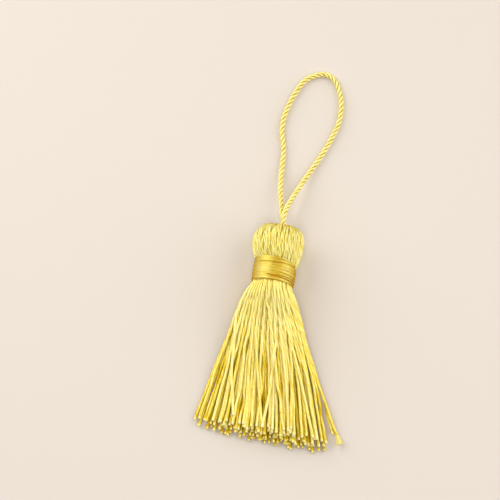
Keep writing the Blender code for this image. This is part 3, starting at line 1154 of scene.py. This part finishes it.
def build_binding():
    """Floss wound flat round the neck: broad bands of turns, fine turns in them, and a few deep lines."""
    angle = 2 * math.pi * np.arange(BINDING_STEPS) / BINDING_STEPS
    phase, height = np.meshgrid(angle, np.linspace(0.0, 1.0, BINDING_ROWS))
    wound = height + sum(size * np.sin(waves * phase + start) for size, waves, start in TILTS)
    fine = np.abs(np.sin(math.pi * (wound * FLOSS_TURNS - phase / (2 * math.pi)))) ** FLOSS_POWER
    band = np.abs(np.sin(math.pi * wound * BANDS)) ** BAND_POWER
    radius = BINDING_RADIUS - FLOSS_SINK + FLOSS_DEPTH * fine + BAND_DEPTH * band
    radius += BARREL * (4.0 * height * (1.0 - height) - 0.5)
    radius -= DROP_SINK * edge_drop(phase) * ramp(height, DROP_REGION, 1.0)
    rng = np.random.default_rng(BINDING_SEED)
    turn = np.clip((wound * FLOSS_TURNS).astype(int), 0, FLOSS_TURNS)
    tones = TONE + rng.uniform(-FLOSS_TONES, FLOSS_TONES, FLOSS_TURNS + 1)[turn]
    # Painted shade in the grooves between the bands
    tones += BAND_PAINTED_SHADE * (band - BAND_MIDDLE)

    # Degrees over the top from the left side, -90 to 270
    from_left = (180.0 - np.degrees(phase) + 90.0) % 360.0 - 90.0
    # Painted shade in the deep lines, painted light on the proud turn
    for left, middle, right, start, end, deep, wide in BINDING_LINES:
        line = np.interp(from_left, LINE_ANGLES, (left, middle, right))
        inside = ramp(from_left, start, start + LINE_FADE) * ramp(from_left, end, end - LINE_FADE)
        cut = inside * np.exp(-((height - line) / wide) ** 2)
        radius -= deep * MM * cut
        tones -= LINE_SHADE * deep * cut
    # Painted shade on the sides and in a band over the top
    turned = ramp(np.cos(phase) ** 2, SIDE_FROM, SIDE_TO)
    tones -= SIDE_SHADE * np.where(np.sin(phase) > SIDE_LOWEST, turned, 0.0)
    tones -= TOP_SHADE * np.exp(-((from_left - TOP_ANGLE) / TOP_WIDTH) ** 2)
    edge = np.minimum(height, 1.0 - height)
    radius -= EDGE_ROUND * ramp(edge, EDGE_REGION, 0.0) ** 2

    along = height * (BINDING_LENGTH - edge_drop(phase))
    inner = np.full_like(radius[:1], BORE_RADIUS)
    radius = np.concatenate([inner, radius, inner])[::-1]
    phase, along, tones = [
        np.concatenate([rows[:1], rows, rows[-1:]])[::-1] for rows in (phase, along, tones)
    ]
    rings = np.stack([radius * np.cos(phase), along, AXIS_HEIGHT + radius * np.sin(phase)], axis=2)
    ring_mesh("binding_floss", built(rings), tones, BINDING_SILK, "binding")


def ring_mesh(name, rings, tones, material, node):
    """A sleeve whose section closes on itself: rings (row, step, axis), tones (row, step)."""
    rows, steps, _ = rings.shape
    i, j = np.meshgrid(np.arange(rows), np.arange(steps), indexing="ij")
    below, beside = (i + 1) % rows, (j + 1) % steps
    quads = np.stack([
        i * steps + j, i * steps + beside, below * steps + beside, below * steps + j,
    ], axis=-1).reshape(-1, 4)
    mesh = bpy.data.meshes.new(name)
    mesh.from_pydata(rings.reshape(-1, 3).tolist(), [], quads.tolist())
    mesh.shade_smooth()
    round_it = np.stack([j, j + 1, j + 1, j], axis=-1).reshape(-1) / steps
    row = np.stack([i, i, i + 1, i + 1], axis=-1).reshape(-1)
    uv = np.stack([row, round_it], axis=1) * FLOSS_UV
    add_piece(name, mesh, uv, tones, material, node)


# Hanging loop

STEPS_PER_LAY = 22
ROUTE_DETAIL = 24
CORD_PLY_SIDES = 12
CORD_PLY_OUT = 1.04
CORD_PLY_ACROSS = 1.08
CORD_TONES = (0.14, 0.20, 0.09)
# Painted shade on the plies' sides that face the other plies
CORD_INNER = 2.0


def smooth_route(points, step):
    """Points at equal steps along a smooth curve through the given ones, as in the part's source."""
    ends = np.vstack([2 * points[0] - points[1], points, 2 * points[-1] - points[-2]])
    fine = []
    for before, start, end, after in zip(ends, ends[1:], ends[2:], ends[3:]):
        for t in np.linspace(0.0, 1.0, ROUTE_DETAIL, endpoint=False):
            fine.append(0.5 * (
                2 * start + (end - before) * t + (2 * before - 5 * start + 4 * end - after) * t * t
                + (3 * start - before - 3 * end + after) * t ** 3
            ))
    fine = np.array([*fine, points[-1]])
    run = run_of(fine[None])[0]
    places = np.linspace(0.0, run[-1], round(run[-1] / step) + 1)
    return np.stack([np.interp(places, run, fine[:, axis]) for axis in range(3)], axis=1)


def build_loop():
    """Three plies laid up in a right-handed twist along the route of the solid."""
    route = built(smooth_route(np.array(LOOP_ROUTE_MM) * MM, CORD_LAY / STEPS_PER_LAY))
    lines = route[None]
    run = run_of(lines)
    forward = unit(np.gradient(lines, axis=1))
    across = unit(np.cross(UP, forward))
    out = np.cross(forward, across)
    ply_radius = CORD_RADIUS / (1.0 + 2.0 / math.sqrt(3.0))
    section = ellipse(ply_radius * CORD_PLY_OUT, ply_radius * CORD_PLY_ACROSS, CORD_PLY_SIDES)
    # Painted shade where the plies face each other
    tones = TONE + np.array(CORD_TONES)[:, None, None] - CORD_INNER * inner_shade(CORD_PLY_SIDES)
    rings = []
    for ply in range(CORD_PLIES):
        theta = (2 * math.pi * run / CORD_LAY + 2 * math.pi * ply / CORD_PLIES)[:, :, None]
        ply_out = np.cos(theta) * across + np.sin(theta) * out
        ply_across = np.cos(theta) * out - np.sin(theta) * across
        middle = lines + (CORD_RADIUS - ply_radius) * ply_out
        rings.append(thread_rings(middle, ply_out, ply_across, section, np.ones_like(run)))
    piece = thread_mesh(
        "loop_cord", np.concatenate(rings), np.concatenate([run] * CORD_PLIES), tones, CORD_SILK,
        "hanging_loop",
    )


add_camera()
add_studio()
add_floor()
build_loop()
build_core()
build_head()
build_binding()
build_skirt()
